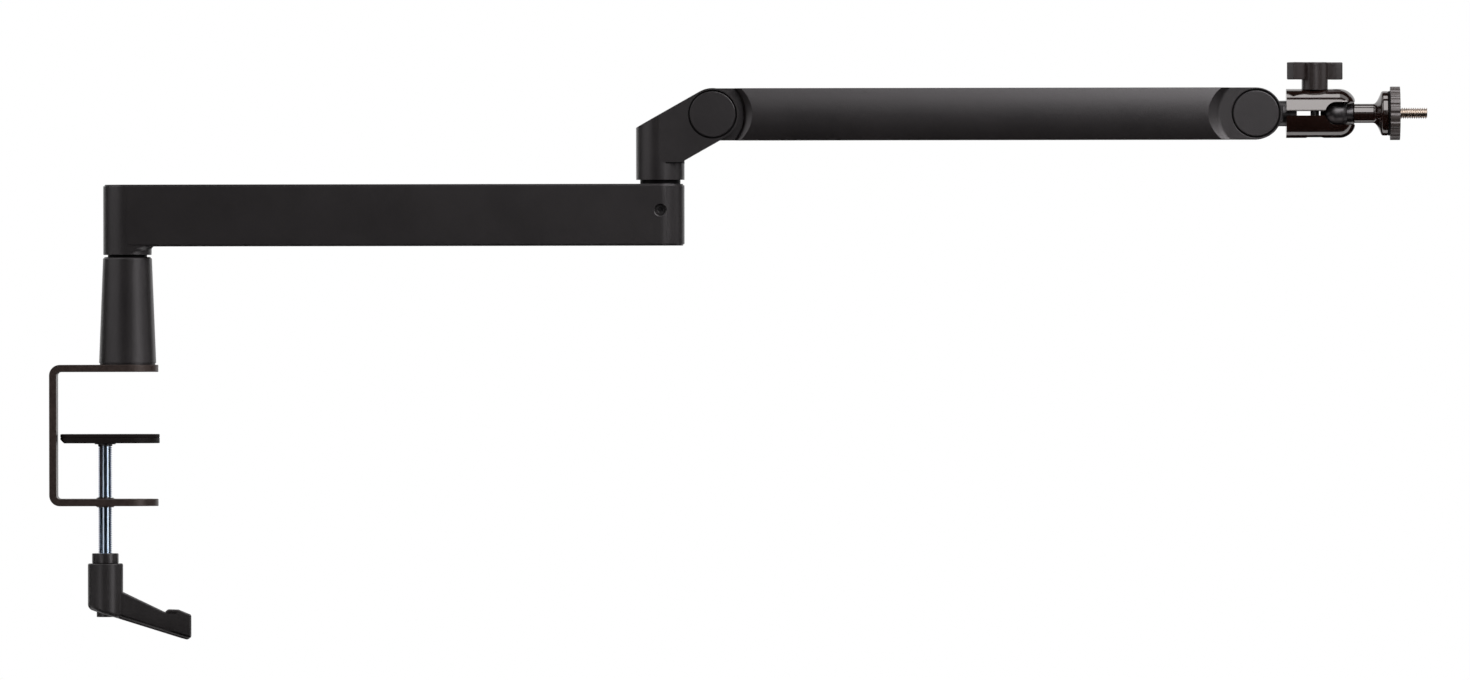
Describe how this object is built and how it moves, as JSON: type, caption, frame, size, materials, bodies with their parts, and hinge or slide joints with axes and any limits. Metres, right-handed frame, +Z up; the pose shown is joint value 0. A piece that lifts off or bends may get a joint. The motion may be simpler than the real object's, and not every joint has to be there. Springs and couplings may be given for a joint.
{
  "type": "microphone boom arm",
  "caption": "Low-profile desk boom arm for a microphone: C-clamp with lever screw, swivelling post, flat lower arm, tilting elbow, upper arm, and a ball head with a threaded stud.",
  "frame": {"origin": "on the post axis, on the clamp's upper face against the desk", "axes": "+Z up along the post, +X along both arms towards the stud, +Y away from the picture's viewer"},
  "size_m": [0.7853, 0.035, 0.3281],
  "materials": {
    "black_steel": "fine textured powder coat, matte",
    "black_aluminium": "fine textured powder coat, matte",
    "black_cap": "matte with a bright-cut edge",
    "gloss_black_aluminium": "polished black anodised",
    "wheel_aluminium": "satin black anodised",
    "bare_aluminium": "as turned",
    "zinc_plated_steel": "blue-passivated zinc plate",
    "stainless_steel": "turned",
    "steel": "turned",
    "black_oxide_steel": "black oxide",
    "black_zinc": "powder-coated die casting",
    "magnet_nickel": "nickel plate",
    "bush_plastic": "moulded nylon",
    "black_washer": "black nylon",
    "cover_plastic": "fine moulded grain",
    "knob_plastic": "fine moulded grain",
    "rubber": "matte rubber"
  },
  "bodies": {
    "clamp": {"clamp_bracket": "black_steel", "post_screws": "steel", "post_core": "bare_aluminium", "post_sleeve": "black_aluminium", "post_bush_lower": "bush_plastic", "post_bush_upper": "bush_plastic", "post_washer": "black_washer"},
    "jaw": {"jaw_plate": "black_steel", "jaw_pad": "rubber", "jaw_bush": "black_oxide_steel"},
    "screw": {"clamp_screw": "zinc_plated_steel", "screw_clip": "steel", "lever_insert": "black_oxide_steel", "lever_retainer": "black_oxide_steel"},
    "lever_return": {"lever_spring": "steel"},
    "lever": {"lever_handle": "black_zinc"},
    "lower_arm": {"lower_arm_channel": "black_aluminium", "swivel_shaft": "steel", "shaft_bolt": "black_oxide_steel", "shaft_bolt_washer": "steel", "lower_arm_magnets": "magnet_nickel", "elbow_bush": "bush_plastic", "elbow_set_screw": "black_oxide_steel", "elbow_washer": "black_washer"},
    "lower_cover": {"lower_arm_cover": "cover_plastic", "lower_cover_magnets": "magnet_nickel"},
    "knuckle": {"elbow_spigot": "steel", "elbow_knuckle": "black_aluminium", "tilt_bolt": "steel", "tilt_nut": "steel", "tilt_washers": "bush_plastic"},
    "elbow_cap_front": {"elbow_cap_front": "black_cap"},
    "elbow_cap_rear": {"elbow_cap_rear": "black_cap"},
    "upper_arm": {"upper_arm_beam": "black_aluminium", "tilt_bush": "bush_plastic", "upper_arm_magnets": "magnet_nickel", "head_bolt": "steel", "head_nut": "steel", "head_washers": "bush_plastic"},
    "upper_cover": {"upper_arm_cover": "cover_plastic", "upper_cover_magnets": "magnet_nickel"},
    "head": {"head_tongue": "black_aluminium"},
    "head_cap_front": {"head_cap_front": "black_cap"},
    "head_cap_rear": {"head_cap_rear": "black_cap"},
    "ball_jaws": {"ball_jaw_upper": "gloss_black_aluminium", "ball_jaw_lower": "gloss_black_aluminium", "lock_nut": "black_oxide_steel"},
    "lock_knob": {"lock_knob": "knob_plastic", "lock_screw": "steel"},
    "ball_seat": {"ball_seat": "bush_plastic"},
    "ball": {"ball": "gloss_black_aluminium"},
    "stem": {"stem": "gloss_black_aluminium", "thread_stud": "stainless_steel"},
    "wheel_washer": {"wheel_washer": "black_washer"},
    "lock_wheel": {"lock_wheel": "wheel_aluminium"}
  },
  "joints": [
    {"name": "jaw_slide", "type": "slide", "parent": "clamp", "child": "jaw", "axis": [0, 0, 1], "range_m": [-0.02875, 0.025]},
    {"name": "screw_turn", "type": "hinge", "parent": "jaw", "child": "screw", "pos_m": [-0.0129, 0, -0.0422], "axis": [0, 0, 1], "range_deg": [-8281, 7201]},
    {"name": "lever_index", "type": "hinge", "parent": "screw", "child": "lever_return", "pos_m": [-0.0129, 0, -0.109], "axis": [0, 0, 1], "continuous": true},
    {"name": "lever_pull", "type": "slide", "parent": "lever_return", "child": "lever", "axis": [0, 0, -1], "range_m": [0, 0.0035], "stiffness_N_per_m": 1500, "springref_m": -0.004, "deforming": ["lever_spring"]},
    {"name": "base_swivel", "type": "hinge", "parent": "clamp", "child": "lower_arm", "pos_m": [0, 0, 0.0667], "axis": [0, 0, 1], "continuous": true},
    {"name": "lower_cover_lift", "type": "slide", "parent": "lower_arm", "child": "lower_cover", "axis": [0, 0, 1], "range_m": [0, 0.01]},
    {"name": "elbow_swivel", "type": "hinge", "parent": "lower_arm", "child": "knuckle", "pos_m": [0.3038, 0, 0.109], "axis": [0, 0, 1], "continuous": true},
    {"name": "elbow_cap_front_pull", "type": "slide", "parent": "knuckle", "child": "elbow_cap_front", "axis": [0, -1, 0], "range_m": [0, 0.01]},
    {"name": "elbow_cap_rear_pull", "type": "slide", "parent": "knuckle", "child": "elbow_cap_rear", "axis": [0, 1, 0], "range_m": [0, 0.01]},
    {"name": "arm_tilt", "type": "hinge", "parent": "knuckle", "child": "upper_arm", "pos_m": [0.3336, 0, 0.1462], "axis": [0, -1, 0], "range_deg": [-35, 90]},
    {"name": "upper_cover_drop", "type": "slide", "parent": "upper_arm", "child": "upper_cover", "axis": [0, 0, -1], "range_m": [0, 0.01]},
    {"name": "head_tilt", "type": "hinge", "parent": "upper_arm", "child": "head", "pos_m": [0.6432, 0, 0.1462], "axis": [0, -1, 0], "range_deg": [-90, 90]},
    {"name": "head_cap_front_pull", "type": "slide", "parent": "upper_arm", "child": "head_cap_front", "axis": [0, -1, 0], "range_m": [0, 0.01]},
    {"name": "head_cap_rear_pull", "type": "slide", "parent": "upper_arm", "child": "head_cap_rear", "axis": [0, 1, 0], "range_m": [0, 0.01]},
    {"name": "jaws_roll", "type": "hinge", "parent": "head", "child": "ball_jaws", "pos_m": [0.6605, 0, 0.1462], "axis": [1, 0, 0], "continuous": true},
    {"name": "knob_turn", "type": "hinge", "parent": "ball_jaws", "child": "lock_knob", "pos_m": [0.6769, 0, 0.16], "axis": [0, 0, 1], "range_deg": [-45, 720]},
    {"name": "ball_pitch", "type": "hinge", "parent": "ball_jaws", "child": "ball_seat", "pos_m": [0.6889, 0, 0.1462], "axis": [0, -1, 0], "range_deg": [-9, 9]},
    {"name": "ball_swing", "type": "hinge", "parent": "ball_seat", "child": "ball", "pos_m": [0.6889, 0, 0.1462], "axis": [0, 0, 1], "range_deg": [-90, 9]},
    {"name": "stem_spin", "type": "hinge", "parent": "ball", "child": "stem", "pos_m": [0.6889, 0, 0.1462], "axis": [1, 0, 0], "continuous": true},
    {"name": "washer_slide", "type": "slide", "parent": "stem", "child": "wheel_washer", "axis": [1, 0, 0], "range_m": [0, 0.00762]},
    {"name": "wheel_turn", "type": "hinge", "parent": "wheel_washer", "child": "lock_wheel", "pos_m": [0.7198, 0, 0.1462], "axis": [1, 0, 0], "range_deg": [-1, 2161]}
  ],
  "couplings": [
    {"joint": "screw_turn", "follows": "jaw_slide", "rad_per_m": 5026.5},
    {"joint": "wheel_turn", "follows": "washer_slide", "rad_per_m": 4947.4}
  ]
}
